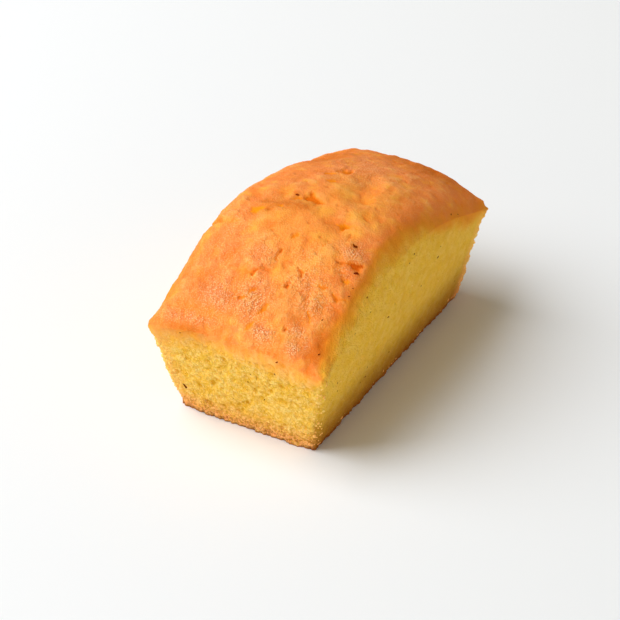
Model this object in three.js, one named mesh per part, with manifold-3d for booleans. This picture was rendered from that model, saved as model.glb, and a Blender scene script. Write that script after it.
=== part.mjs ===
// A small loaf cake, baked in a flared tin: one solid of crumb under a risen, torn crust.
// Millimetres, +Z up. X runs along the loaf and Y across it. The origin is on the table, under the
// middle of the loaf, and the loaf stands on its flat base.
import * as THREE from "three";
import { mergeVertices } from "three/addons/utils/BufferGeometryUtils.js";
import Module from "manifold-3d";

// The tin: its floor, and the rim line that the four low corners of the cake reach.
const BASE_LENGTH = 92;
const BASE_WIDTH = 45.4;
const RIM_LENGTH = 101.6;
const RIM_WIDTH = 56;
const RIM_HEIGHT = 30;
const BASE_CORNER_RADIUS = 5; // upright edges, in plan
const RIM_CORNER_RADIUS = 1.2;
const BASE_EDGE_RADIUS = 1.8;

// The rise of the batter above the rim. Both ends are lower than the middle, and -X is the lower end.
const LONG_EDGE_RISE = 16.2; // middle of a long edge above the corners
const LONG_EDGE_FALL = 1.12; // above 1 the edge falls away in a bell, and not in a plain arch
const NEAR_EDGE_LEAN = 0.16; // how much fuller the -Y edge is towards -X
const FAR_EDGE_LEAN = 0.23; // the same for the +Y edge
const FAR_SWELL = 1.8; // the +Y edge rose this much more around FAR_SWELL_PLACE
const FAR_SWELL_PLACE = -13;
const FAR_SWELL_REACH = 25;
const CROWN = 6.7; // middle of the crust above the long edges beside it
const CROWN_FLATNESS = 2.5; // 2 is a round crown, more is a flatter one
const END_CROWN_CHANGE = 2.1; // crown gained at the +X end and lost at the -X end
const END_CORNER_CHANGE = 0.5; // corner height gained and lost the same way

// The roll of the crust into the walls: its radius at a corner, and in the middle of each edge.
const CORNER_ROLL = 1.2;
const END_ROLL = 2.6;
const LONG_ROLL = 5;

// A thin lip of crust at each corner, where batter clung to the tin.
const LIP_REACH = 1;
const LIP_SPAN = 5;

// Soft folds in the crust: a path in plan, then reach to each side and depth. Below 0 it is a swell.
const FOLDS = [
  { points: [[-8.5, 16.8], [-6.6, 12.1], [-4.2, 6.5], [-2.4, -0.4]], reach: 5, depth: 1.4 }, // crown
  { points: [[4.2, -8.2], [9, -6.6], [17, -6]], reach: 6, depth: 1.3 },
  { points: [[-14, -11.4], [-8.5, -11.1]], reach: 5.5, depth: 0.9 },
  { points: [[-40, -2], [-26, -5]], reach: 9, depth: 0.7 },
  { points: [[-12.6, 17], [-14.2, 22.5], [-15.2, 30]], reach: 2.6, depth: 1.5 }, // over the far shoulder
  { points: [[-31, 27], [-41, 27]], reach: 6, depth: 0.8 },
  { points: [[31, 16], [34, 28]], reach: 8, depth: 0.9 },
  { points: [[47, 14], [48, 24]], reach: 8, depth: -0.5 }, // the far corner's swell
];

// Tears in the crust: a path in plan, then width and depth.
const TEARS = [
  { points: [[-1.8, 5.6], [-0.7, 3], [-2.2, -0.9]], width: 2.8, depth: 1.4 }, // in the crown's fold
  { points: [[-4.3, 8.4], [-2.8, 5.2]], width: 2.2, depth: 0.9 },
  { points: [[15.7, 4.4], [18.9, 0.2]], width: 1.8, depth: 0.8 },
  { points: [[-9.7, -8.4], [-8.5, -11.1], [-7.3, -12.8]], width: 2.6, depth: 1.2 },
  { points: [[-22.4, -15.2], [-20, -17.2], [-18.3, -22.6]], width: 1.9, depth: 1.1 },
  { points: [[-23.5, -0.7], [-25, 0.5], [-27.5, -0.1]], width: 1.2, depth: 0.6 },
  { points: [[-32.1, 2.6], [-34.9, 4.9]], width: 1.4, depth: 0.6 },
  { points: [[-28.3, -7.7], [-31.1, -9.8]], width: 1.3, depth: 0.6 },
  { points: [[-36.3, 0.8], [-38.4, 2.4]], width: 1.6, depth: 0.7 },
  { points: [[-39.1, 2.8], [-41.2, 4.5]], width: 1.5, depth: 0.7 },
];
const TEAR_OVERLAP = 0.4; // one stretch of a tear into the next
const TEAR_SIDES = 10;
const TEAR_RINGS = 6;

// Unevenness everywhere: waves of a few wavelengths, each turned against the last.
const CRUST_WAVE_HEIGHT = 0.32;
const WALL_WAVE_HEIGHT = 0.2;
const WAVE_LENGTHS = [19, 12.3, 7.9, 5.3];
const WAVE_TURN = 2.4; // radians between one wave's heading and the next
const WAVE_STRETCH = 1.7; // a wave is this much longer across its heading than along it

// Mesh: grid steps along, across and up, and how far the block reaches under the table before the cut.
const STEPS_ALONG = 70;
const STEPS_ACROSS = 39;
const STEPS_UP = 9;
const UNDER_TABLE = 1.9;
const TABLE_SIZE = 200;

const HALF_LENGTH = RIM_LENGTH / 2;
const HALF_WIDTH = RIM_WIDTH / 2;
const { clamp, lerp, smoothstep } = THREE.MathUtils;

// Sum of waves over two coordinates, from -1 to 1.
function waves(a, b) {
  let sum = 0;
  WAVE_LENGTHS.forEach((length, i) => {
    const heading = WAVE_TURN * i;
    const along = a * Math.cos(heading) + b * Math.sin(heading);
    const across = b * Math.cos(heading) - a * Math.sin(heading);
    const turns = (2 * Math.PI) / length;
    sum += Math.sin(turns * along + i) * Math.cos((turns * across) / WAVE_STRETCH);
  });
  return sum / WAVE_LENGTHS.length;
}

// Distance in plan from (x, y) to a path of straight stretches.
function distanceToPath(x, y, points) {
  const here = new THREE.Vector3(x, y, 0);
  const nearest = new THREE.Vector3();
  let least = Infinity;
  for (let i = 0; i + 1 < points.length; i++) {
    const from = new THREE.Vector3(...points[i], 0);
    const to = new THREE.Vector3(...points[i + 1], 0);
    new THREE.Line3(from, to).closestPointToPoint(here, true, nearest);
    least = Math.min(least, here.distanceTo(nearest));
  }
  return least;
}

// A smooth bump: 1 at its middle, 0 from the given reach outwards.
function bump(distance, reach) {
  return smoothstep(reach - distance, 0, reach);
}

// How far the crust's waves and folds move it up or down at (x, y).
function crustRelief(x, y) {
  let height = CRUST_WAVE_HEIGHT * waves(x, y);
  for (const { points, reach, depth } of FOLDS) {
    height -= depth * bump(distanceToPath(x, y, points), reach);
  }
  return height;
}

// Height of the smooth crust over (x, y): low corners, arched edges and a crown between the edges.
function crustHeight(x, y) {
  const u = clamp(x / HALF_LENGTH, -1, 1);
  const v = clamp(Math.abs(y) / HALF_WIDTH, 0, 1);
  const corner = RIM_HEIGHT + END_CORNER_CHANGE * u;
  const farShare = smoothstep(y, -HALF_WIDTH, HALF_WIDTH);
  const lean = lerp(NEAR_EDGE_LEAN, FAR_EDGE_LEAN, farShare);
  const edge = LONG_EDGE_RISE * (1 - u * u) ** LONG_EDGE_FALL * (1 - lean * u);
  const swell = FAR_SWELL * bump(Math.abs(x - FAR_SWELL_PLACE), FAR_SWELL_REACH) * farShare ** 2;
  const crown = (CROWN + END_CROWN_CHANGE * u) * (1 - v ** CROWN_FLATNESS);
  return corner + edge + swell + crown;
}

// Radius of the crust's roll into the wall at the edge beside (x, y).
function rollRadius(x, y) {
  const fromEnds = 1 - (x / HALF_LENGTH) ** 2;
  const fromSides = 1 - (y / HALF_WIDTH) ** 2;
  return CORNER_ROLL + (LONG_ROLL - CORNER_ROLL) * fromEnds + (END_ROLL - CORNER_ROLL) * fromSides;
}

// Rolls the sharp edge between crust and wall over an arc. A point on the crust is given by its inset
// from the wall, a point on the wall by its drop below the crust; both come back on the arc.
function rollOver(inset, drop, radius) {
  if (inset >= radius || drop >= radius) return { inset, drop };
  const angle = (Math.PI / 4) * (1 - inset / radius + drop / radius);
  return { inset: radius * (1 - Math.sin(angle)), drop: radius * (1 - Math.cos(angle)) };
}

// Places a point of a rectangle's outline on the same outline with round corners.
function roundCorner(point, halfLength, halfWidth, radius) {
  const innerX = halfLength - radius;
  const innerY = halfWidth - radius;
  const overX = Math.abs(point.x) - innerX;
  const overY = Math.abs(point.y) - innerY;
  if (overX <= 0 || overY <= 0) return;
  const pull = Math.max(overX, overY) / Math.hypot(overX, overY);
  point.x = Math.sign(point.x) * (innerX + overX * pull);
  point.y = Math.sign(point.y) * (innerY + overY * pull);
}

// How far down the wall a row of the block goes, as a share of the wall. Rows gather at both edges.
function wallShare(z) {
  const share = (RIM_HEIGHT - z) / RIM_HEIGHT;
  return share < 1 ? smoothstep(share, 0, 1) : share;
}

// How far the lip stands out beyond the wall: most at a corner's edge, and nothing LIP_SPAN away.
function cornerLip(point, drop) {
  const away = Math.hypot(HALF_LENGTH - Math.abs(point.x), HALF_WIDTH - Math.abs(point.y));
  return LIP_REACH * bump(away, LIP_SPAN) * bump(drop, LIP_SPAN);
}

// Moves a point of the tin's sharp block, with its top at the rim, to its place on the cake.
function bake(point) {
  const insetOnBlock = Math.min(HALF_LENGTH - Math.abs(point.x), HALF_WIDTH - Math.abs(point.y));
  const radius = rollRadius(point.x, point.y);
  const level = crustHeight(point.x, point.y);
  const { inset, drop } = rollOver(insetOnBlock, wallShare(point.z) * level, radius);
  const height = level - drop;
  const onWall = smoothstep(drop, 0, radius);

  // Plan: the ring through this point, with round corners, drawn in where the tin narrows.
  const flare = clamp(height / RIM_HEIGHT, 0, 1);
  const ringLength = HALF_LENGTH - insetOnBlock;
  const ringWidth = HALF_WIDTH - insetOnBlock;
  const cornerRadius = lerp(BASE_CORNER_RADIUS, RIM_CORNER_RADIUS, flare);
  roundCorner(point, ringLength, ringWidth, Math.max(cornerRadius - insetOnBlock, 0));
  const underEdge = Math.max(BASE_EDGE_RADIUS - Math.max(height, 0), 0);
  const tuck = BASE_EDGE_RADIUS - Math.sqrt(BASE_EDGE_RADIUS ** 2 - underEdge ** 2);
  const bulge = WALL_WAVE_HEIGHT * waves(point.x + point.y, height) * onWall;
  const outward = cornerLip(point, drop) + bulge - inset - tuck;
  if (ringLength > 0) point.x *= (lerp(BASE_LENGTH / 2, HALF_LENGTH, flare) + outward) / ringLength;
  if (ringWidth > 0) point.y *= (lerp(BASE_WIDTH / 2, HALF_WIDTH, flare) + outward) / ringWidth;

  point.z = height + (1 - onWall) * crustRelief(point.x, point.y);
  return point;
}

// The loaf as a closed surface that still reaches under the table.
function loafSurface() {
  const blockHeight = RIM_HEIGHT + UNDER_TABLE;
  const block = new THREE.BoxGeometry(
    RIM_LENGTH,
    RIM_WIDTH,
    blockHeight,
    STEPS_ALONG,
    STEPS_ACROSS,
    STEPS_UP,
  ).translate(0, 0, RIM_HEIGHT - blockHeight / 2);
  const positions = block.getAttribute("position");
  const point = new THREE.Vector3();
  for (let i = 0; i < positions.count; i++) {
    bake(point.fromBufferAttribute(positions, i));
    positions.setXYZ(i, point.x, point.y, point.z);
  }
  return block;
}

// One stretch of a tear, from one point of the crust to the next: a sphere drawn out along it.
function tearStretch(from, to, width, depth) {
  const along = to.clone().sub(from);
  const turn = new THREE.Quaternion().setFromUnitVectors(
    new THREE.Vector3(1, 0, 0),
    along.clone().normalize(),
  );
  return new THREE.SphereGeometry(1, TEAR_SIDES, TEAR_RINGS)
    .scale(along.length() / 2 + TEAR_OVERLAP, width / 2, depth)
    .applyQuaternion(turn)
    .translate((from.x + to.x) / 2, (from.y + to.y) / 2, (from.z + to.z) / 2);
}

// Every stretch of every tear, laid on the crust.
function tearStretches() {
  return TEARS.flatMap(({ points, width, depth }) => {
    const path = points.map(([x, y]) => bake(new THREE.Vector3(x, y, RIM_HEIGHT)));
    return path.slice(1).map((to, i) => tearStretch(path[i], to, width, depth));
  });
}

// A closed geometry as a solid that can be cut.
function toSolid(wasm, geometry) {
  geometry.deleteAttribute("normal");
  geometry.deleteAttribute("uv");
  const merged = mergeVertices(geometry);
  return new wasm.Manifold(
    new wasm.Mesh({
      numProp: 3,
      vertProperties: merged.getAttribute("position").array,
      triVerts: new Uint32Array(merged.index.array),
    }),
  );
}

// A cut solid as a geometry again.
function toGeometry(solid) {
  const { vertProperties, triVerts } = solid.getMesh();
  const geometry = new THREE.BufferGeometry();
  geometry.setAttribute("position", new THREE.BufferAttribute(vertProperties, 3));
  geometry.setIndex(new THREE.BufferAttribute(triVerts, 1));
  geometry.computeVertexNormals();
  return geometry;
}

const wasm = await Module();
wasm.setup();

const table = new THREE.BoxGeometry(TABLE_SIZE, TABLE_SIZE, TABLE_SIZE).translate(0, 0, -TABLE_SIZE / 2);
const cutters = [table, ...tearStretches()].map((geometry) => toSolid(wasm, geometry));
const loaf = toSolid(wasm, loafSurface()).subtract(wasm.Manifold.union(cutters));

const cake = new THREE.Mesh(
  toGeometry(loaf),
  new THREE.MeshStandardMaterial({ color: 0xe8a048, roughness: 0.75, metalness: 0 }),
);
cake.name = "loaf_cake";

const part = new THREE.Group();
part.add(cake);
export default part;
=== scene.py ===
# %% [markdown]
# # A small loaf cake
#
# The real thing is a butter sponge, baked in a small flared tin and turned out whole. Its walls are
# pale crumb with the tin's shape, and its top is a browned crust that rose, folded and tore. The
# frame holds the measured solid. This lesson pulls a fine skin over it, roughens that skin as crust
# and as crumb, colours both with nodes, and then adds the dark specks that were baked in and the
# crumbs that cling outside.

# %% The frame
import math
import random
import bmesh
import bpy
import numpy as np
from mathutils import Euler, Matrix, Vector, noise


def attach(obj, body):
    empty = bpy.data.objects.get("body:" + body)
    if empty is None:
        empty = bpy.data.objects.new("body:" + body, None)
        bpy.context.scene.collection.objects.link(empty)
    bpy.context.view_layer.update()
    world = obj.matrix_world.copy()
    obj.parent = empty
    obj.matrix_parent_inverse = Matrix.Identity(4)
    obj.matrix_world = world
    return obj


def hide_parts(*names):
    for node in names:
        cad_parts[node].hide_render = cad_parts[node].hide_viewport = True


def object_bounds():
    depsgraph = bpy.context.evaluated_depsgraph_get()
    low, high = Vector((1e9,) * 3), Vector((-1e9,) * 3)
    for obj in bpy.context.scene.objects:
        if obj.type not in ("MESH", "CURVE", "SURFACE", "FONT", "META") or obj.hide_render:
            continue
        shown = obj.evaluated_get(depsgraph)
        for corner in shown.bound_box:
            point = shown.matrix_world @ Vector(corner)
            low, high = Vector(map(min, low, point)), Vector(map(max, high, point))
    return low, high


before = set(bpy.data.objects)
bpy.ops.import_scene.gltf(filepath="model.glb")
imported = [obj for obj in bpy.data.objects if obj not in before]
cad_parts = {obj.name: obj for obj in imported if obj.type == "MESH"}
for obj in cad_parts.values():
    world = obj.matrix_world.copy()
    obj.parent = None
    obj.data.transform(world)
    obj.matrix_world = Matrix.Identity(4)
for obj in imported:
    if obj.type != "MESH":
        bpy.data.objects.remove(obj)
cad_low, cad_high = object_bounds()
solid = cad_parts["loaf_cake"]
MM = 0.001
print("solid, mm:", [round(side / MM, 1) for side in cad_high - cad_low])

# %% [markdown]
# ## The camera
#
# The camera comes first, because every later step is judged through it. Its angle was found by
# fitting the loaf's corners to the photograph. A long lens from 0.7 m keeps the walls' edges as
# close to parallel as they look there.

# %% Camera at the photograph's angle
PHOTO_SIZE = 620  # pixels, each way
FOCAL_LENGTH = 2374  # pixels
SENSOR_WIDTH = 36  # mm
CAMERA_AZIMUTH = math.radians(-60.7)  # 0 looks along +Y
CAMERA_ELEVATION = math.radians(34.7)
CAMERA_DISTANCE = 0.7
CAMERA_TARGET = Vector((-4.3, 2.2, 15)) * MM

towards_camera = Vector((
    math.sin(CAMERA_AZIMUTH) * math.cos(CAMERA_ELEVATION),
    -math.cos(CAMERA_AZIMUTH) * math.cos(CAMERA_ELEVATION),
    math.sin(CAMERA_ELEVATION),
))
bpy.ops.object.camera_add(location=CAMERA_TARGET + towards_camera * CAMERA_DISTANCE)
camera = bpy.context.object
camera.rotation_euler = towards_camera.to_track_quat("Z", "Y").to_euler()
camera.data.sensor_width = SENSOR_WIDTH
camera.data.lens = FOCAL_LENGTH / PHOTO_SIZE * SENSOR_WIDTH
camera.data.clip_start = 0.01
bpy.context.scene.camera = camera
print("lens, mm:", round(camera.data.lens, 1))

# %% [markdown]
# ## The skin: a block cut into cells
#
# The loaf's skin has to be one closed mesh, fine enough for crumb. It could be a remeshed copy of the
# solid, but then its cells would ignore the walls. A block keeps clean rows: a cube is tapered like
# the tin and cut into cells along and across. Its top is dropped on to the crust with a Shrinkwrap
# modifier, and only then are the walls cut into rows, so that the rows follow the arched rim.

# %% Helpers for working as by hand
def make_active(piece):
    bpy.ops.object.select_all(action="DESELECT")
    piece.select_set(True)
    bpy.context.view_layer.objects.active = piece


def edit(piece, mode):
    make_active(piece)
    bpy.ops.object.mode_set(mode="EDIT")
    bpy.ops.mesh.select_mode(type=mode)
    bpy.ops.mesh.select_all(action="DESELECT")


def leave_edit():
    bpy.ops.object.mode_set(mode="OBJECT")


def select(piece, kind, wanted):
    """Selects the verts, edges or faces that pass the test."""
    bpy.ops.mesh.select_all(action="DESELECT")
    mesh = bmesh.from_edit_mesh(piece.data)
    mesh.normal_update()
    for element in getattr(mesh, kind):
        if wanted(element):
            element.select_set(True)
    bmesh.update_edit_mesh(piece.data)


# %% A tapered block, cut along and across
CELLS_ALONG = 13
CELLS_ACROSS = 7
RIM_INSET = 1.2 * MM  # the block's top starts this far inside the loaf's outline
ON_FLOOR = 0.01 * MM  # a lower point belongs to the foot

bpy.ops.object.select_all(action="DESELECT")
size = cad_high - cad_low
top_size = size - 2 * Vector((RIM_INSET, RIM_INSET, 0))
middle = (cad_low + cad_high) / 2
bpy.ops.mesh.primitive_cube_add(size=1, location=middle, scale=(top_size.x, top_size.y, size.z))
loaf = bpy.context.object
loaf.name = "loaf"
bpy.ops.object.transform_apply(location=True, rotation=True, scale=True)

foot = [v.co for v in solid.data.vertices if v.co.z < ON_FLOOR]
foot_size = Vector((
    max(p.x for p in foot) - min(p.x for p in foot),
    max(p.y for p in foot) - min(p.y for p in foot),
))


def runs_along(edge, axis):
    step = edge.verts[1].co - edge.verts[0].co
    return abs(step[axis]) > 0.9 * step.length


edit(loaf, "FACE")
select(loaf, "faces", lambda face: face.normal.z < -0.5)
bpy.ops.transform.resize(value=(foot_size.x / top_size.x, foot_size.y / top_size.y, 1))
bpy.ops.mesh.delete(type="ONLY_FACE")
bpy.ops.mesh.select_mode(type="EDGE")
for axis, cells in ((0, CELLS_ALONG), (1, CELLS_ACROSS)):
    select(loaf, "edges", lambda edge: runs_along(edge, axis))
    bpy.ops.mesh.subdivide(number_cuts=cells - 1)
leave_edit()
print("foot, mm:", [round(side / MM, 1) for side in foot_size], "faces:", len(loaf.data.polygons))

# %% The top dropped on to the crust, then rows cut up the walls
CELLS_UP = 5


def apply_modifier(piece, kind, **settings):
    make_active(piece)
    modifier = piece.modifiers.new(kind.lower(), kind)
    for name, value in settings.items():
        setattr(modifier, name, value)
    bpy.ops.object.modifier_apply(modifier=modifier.name)


def stands_on_floor(edge):
    return min(v.co.z for v in edge.verts) < ON_FLOOR and not edge.is_boundary


rise = loaf.vertex_groups.new(name="rise")  # 0 at the foot and 1 on the crust; cuts blend it
rise.add([v.index for v in loaf.data.vertices], 0, "REPLACE")
rise.add([v.index for v in loaf.data.vertices if v.co.z > middle.z], 1, "REPLACE")
apply_modifier(
    loaf, "SHRINKWRAP", target=solid, vertex_group="rise", wrap_method="PROJECT",
    use_project_z=True, use_positive_direction=False, use_negative_direction=True,
)
edit(loaf, "EDGE")
select(loaf, "edges", stands_on_floor)
bpy.ops.mesh.subdivide(number_cuts=CELLS_UP - 1)
leave_edit()
print("cells:", len(loaf.data.polygons))

# %% [markdown]
# ## The skin: fine cells, wrapped
#
# A point that lies inside a sharp corner can't tell which wall it belongs to, so the block is
# fattened first until it encloses the solid. Then every cell is cut fine, a second Shrinkwrap pulls
# the skin on from outside, and a Smooth modifier takes away the solid's facets. The foot stays open
# until the relief is done. It is then closed by one flat face with a narrow inset rim, because
# nothing shows there.

# %% Fatten, cut fine and wrap
FATTEN = 3 * MM
CUTS_IN_CELL = 17
FACET_PASSES = 6  # of smoothing
SMOOTHED_AWAY = 0.25 * MM  # what smoothing takes off the outline, given back

edit(loaf, "FACE")
bpy.ops.mesh.select_all(action="SELECT")
bpy.ops.transform.shrink_fatten(value=FATTEN, use_even_offset=True)
bpy.ops.mesh.subdivide(number_cuts=CUTS_IN_CELL)
leave_edit()
apply_modifier(loaf, "SHRINKWRAP", target=solid, wrap_method="NEAREST_SURFACEPOINT")
apply_modifier(loaf, "SMOOTH", factor=0.5, iterations=FACET_PASSES)
apply_modifier(loaf, "DISPLACE", strength=SMOOTHED_AWAY, mid_level=0)


def vectors_of(piece, what):
    """Every point's "co" or "normal", as rows of x, y and z."""
    flat = np.empty(3 * len(piece.data.vertices), np.float32)
    piece.data.vertices.foreach_get(what, flat)
    return flat.reshape(-1, 3).astype(float)


points = vectors_of(loaf, "co")
print("skin, mm:", (np.ptp(points, axis=0) / MM).round(1), "faces:", len(loaf.data.polygons))

# %% [markdown]
# ## Where the crust ends
#
# Crust and crumb differ in relief, colour and gloss, so both steps need to know how far each point is
# from the rim. The cuts blended the group "rise" up every wall, and with a point's height that gives
# its drop below the rim. On the crust the same scale goes on below zero, as the inset from the walls.
# The crust then fades out over some millimetres, lower and more slowly at the ends, and a little
# noise makes the line wander. A painted mask would do, but it would have to be painted again after
# each change to the block.

# %% Distance from the rim
FLARE_TOP = 30 * MM  # the walls lean out up to here
ROLL = 1.3 * MM  # how far inside the walls the crust's rolled edge lies

share_up = np.array([v.groups[0].weight if v.groups else 0 for v in loaf.data.vertices])
height = points[:, 2]
drop = height * (1 / np.maximum(share_up, 0.001) - 1)
half = np.array(size)[:2] / 2
foot_half = np.array(foot_size) / 2
wall_half = foot_half + (half - foot_half) * np.clip(height / FLARE_TOP, 0, 1)[:, None]
to_walls = wall_half - np.abs(points[:, :2])  # to an end, then to a long wall
on_top = share_up > 0.999
from_rim = np.where(on_top, -np.maximum(to_walls.min(axis=1) - ROLL, 0), drop)
print("from the rim, mm:", (from_rim.min() / MM).round(1), "to", (from_rim.max() / MM).round(1))

# %% Crust fading into crumb
CRUST_ENDS = -1.6 * MM  # on the shoulder of the wall in shade, at the middle of the fade
CRUST_SLANT = 4.0 * MM  # it reaches lower over the far half, and fades more slowly there
CRUST_FADE = 6.5 * MM
FAR_CRUST_FADE = 10.0 * MM
FAR_HALF = (-5 * MM, 40 * MM)
FAR_CRUST_ENDS = 2.0 * MM  # on the far long wall
END_CRUST_ENDS = 4.0 * MM  # the near and far ends fade lower down and more slowly
END_FADE = 11.0 * MM
END_BLEND = (-1 * MM, 3 * MM)  # how much nearer an end than a long wall
NEAR_CORNER = (-47 * MM, -25 * MM)  # the crust hangs over this corner
CORNER_REACH = 7 * MM
CORNER_HANG = 0.5 * MM
FADE_WAVES = ((1.3 * MM, 9 * MM, 1), (0.7 * MM, 2.5 * MM, 2))


def smooth_step(low, high, value):
    share = np.clip((value - low) / (high - low), 0, 1)
    return share * share * (3 - 2 * share)


def waves(at, table):
    """Soft noise at each point, summed from rows of height, wavelength and seed."""
    total = np.zeros(len(at))
    for tall, wavelength, seed in table:
        shift = Vector((seed, 2 * seed, 3 * seed))
        total += tall * np.array([noise.noise(Vector(p) / wavelength + shift) for p in at])
    return total


ends = smooth_step(*END_BLEND, to_walls[:, 1] - to_walls[:, 0])
far_half = smooth_step(*FAR_HALF, points[:, 0])
long_fade = CRUST_FADE + (FAR_CRUST_FADE - CRUST_FADE) * far_half
fade = long_fade + (END_FADE - long_fade) * ends
long_middle = CRUST_ENDS + CRUST_SLANT * far_half
long_middle = np.where(points[:, 1] > 0, FAR_CRUST_ENDS, long_middle)
fade_middle = long_middle + (END_CRUST_ENDS - long_middle) * ends
to_corner = np.hypot(points[:, 0] - NEAR_CORNER[0], points[:, 1] - NEAR_CORNER[1]) / CORNER_REACH
fade_middle += CORNER_HANG * np.exp(-to_corner ** 2)
crust = 1 - smooth_step(0, 1, (from_rim + waves(points, FADE_WAVES) - fade_middle) / fade + 0.5)
print("share of the skin that is crust:", round(float(crust.mean()), 2))

# %% [markdown]
# ## Tears and creases in the crust
#
# The crust set before the middle had finished rising, so it split in short tears, most of them across
# the near half, and sagged into soft creases between them. Each is a path on the crust, and a vertex
# group holds how deep every point lies in one. The solid's plain cuts are smoothed away first, and so
# are two folds and the near shoulder, which run out gently on the cake. A Displace modifier without a
# texture then pushes each group inwards, and another lifts the lips beside the tears. Sculpting would
# do the same, but a path can be moved by editing two numbers.

# %% The tears' paths
TEARS = (  # depth in mm, then the path from above: x, y and width at each of its points
    (0.5, ((-2.5, 4.4, 2.0), (-2.3, 2.6, 4.4), (-2.8, 0.2, 3.4), (-3.7, -1.8, 1.0))),
    (0.4, ((-0.2, 3.4, 0.8), (-2.0, 2.8, 2.4))),
    (0.35, ((-5.4, 7.0, 2.0), (-4.7, 6.3, 3.8), (-4.4, 5.3, 2.0))),
    (0.2, ((-13.9, 15.6, 2.0), (-14.0, 14.3, 3.6), (-13.3, 13.4, 2.0))),
    (0.2, ((-10.9, 8.6, 0.8), (-10.6, 7.9, 1.4))),
    (0.45, ((16.6, 4.4, 1.2), (17.5, 3.0, 3.2), (17.5, 2.0, 3.2), (19.2, 1.0, 1.2))),
    (0.25, ((13.5, 6.8, 0.8), (13.9, 5.6, 1.9), (15.2, 4.6, 0.8))),
    (0.15, ((9.1, 3.6, 0.6), (9.2, 2.8, 1.8), (9.6, 2.0, 0.6))),
    (0.25, ((-9.6, -9.8, 2.0), (-9.4, -11.6, 5.0), (-8.6, -12.9, 2.0))),
    (0.45, ((-9.4, -12.2, 1.6), (-10.8, -12.8, 0.8))),
    (0.45, ((-22.3, -15.4, 0.5), (-20.7, -18.5, 1.0), (-20.4, -19.3, 1.2))),
    (0.6, ((-20.5, -20.2, 2.2), (-20.0, -21.6, 3.6), (-18.8, -22.6, 1.8))),
    (0.5, ((-24.2, -0.9, 0.6), (-25.2, -0.2, 1.2), (-26.0, 0.2, 0.7), (-28.0, -0.2, 0.5))),
    (0.3, ((-18.0, -1.8, 0.4), (-19.2, -1.6, 0.9), (-20.8, -1.2, 0.4))),
    (0.5, ((-27.6, -7.4, 0.5), (-28.8, -8.3, 1.2), (-30.2, -9.4, 0.5))),
    (0.4, ((-16.9, -11.4, 0.5), (-19.1, -10.5, 0.8))),
    (0.5, ((-31.8, 2.5, 0.5), (-33.0, 3.7, 1.3), (-34.4, 4.8, 0.5))),
    (0.35, ((-38.1, 2.3, 1.4), (-37.6, 1.6, 2.2), (-36.9, 0.8, 1.0))),
    (0.4, ((-40.4, 4.6, 0.8), (-40.4, 3.5, 1.7), (-39.9, 2.8, 0.6))),
    (0.5, ((-33.4, -6.7, 0.6), (-34.0, -7.0, 1.4), (-34.6, -7.4, 0.6))),
    (0.3, ((-39.6, -4.3, 0.6), (-41.4, -3.7, 1.6), (-43.0, -3.2, 0.6))),
    (0.2, ((-44.8, -2.9, 0.6), (-46.6, -2.4, 1.6), (-48.2, -1.4, 0.6))),
    (0.4, ((-30.4, -19.7, 0.5), (-31.4, -21.4, 1.2), (-30.8, -22.6, 0.8), (-30.2, -24.0, 0.5))),
    (0.35, ((-30.9, -15.2, 0.5), (-30.6, -16.4, 0.9), (-29.9, -18.0, 0.5))),
    (0.2, ((-25.5, -20.4, 1.0), (-25.0, -21.4, 1.6))),
    (0.25, ((-37.6, -16.1, 0.5), (-39.0, -17.2, 1.0), (-40.4, -18.2, 0.5))),
    (0.5, ((-43.8, -11.8, 0.6), (-44.6, -12.2, 0.9))),
)
print("tears:", len(TEARS))

# %% How deep each point lies in a tear
RAGGED = (0.8, 1.9 * MM)  # how far a tear's edge wanders, in mm, and over what length
FRAYED = (0.35, 0.8 * MM)
TEAR_WALL = (0.25, 0.6)  # from a path outwards, as shares of its width
LIP_RISES = (0.45, 0.7)
LIP_FALLS = (0.8, 1.8)
ZONE_ENDS = (1, 1.8)
NARROW_COLOUR = 0.85  # a narrow tear shows less of its inside
WIDTH_ADDS = 0.15
WIDE_TEAR = (1.2, 2.5)  # mm


def along_path(at, path):
    """Each point's distance from a line of short straight runs, and the line's width there."""
    away = np.full(len(at), np.inf)
    width = np.ones(len(at))
    for start, end in zip(np.array(path[:-1]), np.array(path[1:])):
        run = end[:2] - start[:2]
        share = np.clip((at - start[:2]) @ run / (run @ run), 0, 1)
        here = np.linalg.norm(at - start[:2] - share[:, None] * run, axis=1)
        closer = here < away
        away = np.where(closer, here, away)
        width = np.where(closer, start[2] + share * (end[2] - start[2]), width)
    return away, width


flat_mm = points[:, :2] / MM
warp = np.stack([
    waves(points, ((*RAGGED, seed), (*FRAYED, seed + 1))) for seed in (3, 14)
], axis=1)
tear, tear_depth, tear_zone, lip = np.zeros((4, len(points)))
for depth, path in TEARS:
    away, width = along_path(flat_mm + warp, path)
    away /= width
    inside = (1 - smooth_step(*TEAR_WALL, away)) * on_top
    beside = smooth_step(*LIP_RISES, away) - smooth_step(*LIP_FALLS, away)
    shown = NARROW_COLOUR + WIDTH_ADDS * smooth_step(*WIDE_TEAR, width)
    tear = np.maximum(tear, inside * shown)
    tear_zone = np.maximum(tear_zone, (1 - smooth_step(*ZONE_ENDS, away)) * on_top)
    tear_depth = np.maximum(tear_depth, depth * inside)
    lip = np.maximum(lip, np.clip(beside, 0, 1) * on_top * depth)
lip *= 1 - tear
print("points inside tears:", int((tear > 0.5).sum()))

# %% Places that are only softened
SOFTENED = (  # folds that run out gently, then the near shoulder: x, y and reach in mm
    (-8.3, 16.8, 4.0), (9.0, -6.0, 6.0),
    (-47.0, -26.5, 6.0), (-41.0, -27.0, 5.0), (-35.0, -27.0, 4.5), (-29.0, -27.5, 4.0),
    (-23.0, -28.0, 3.5),
)
SOFT_EDGE = (0.5, 1.2)  # of the reach
SOFT_ABOVE = (20 * MM, 28 * MM)

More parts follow.
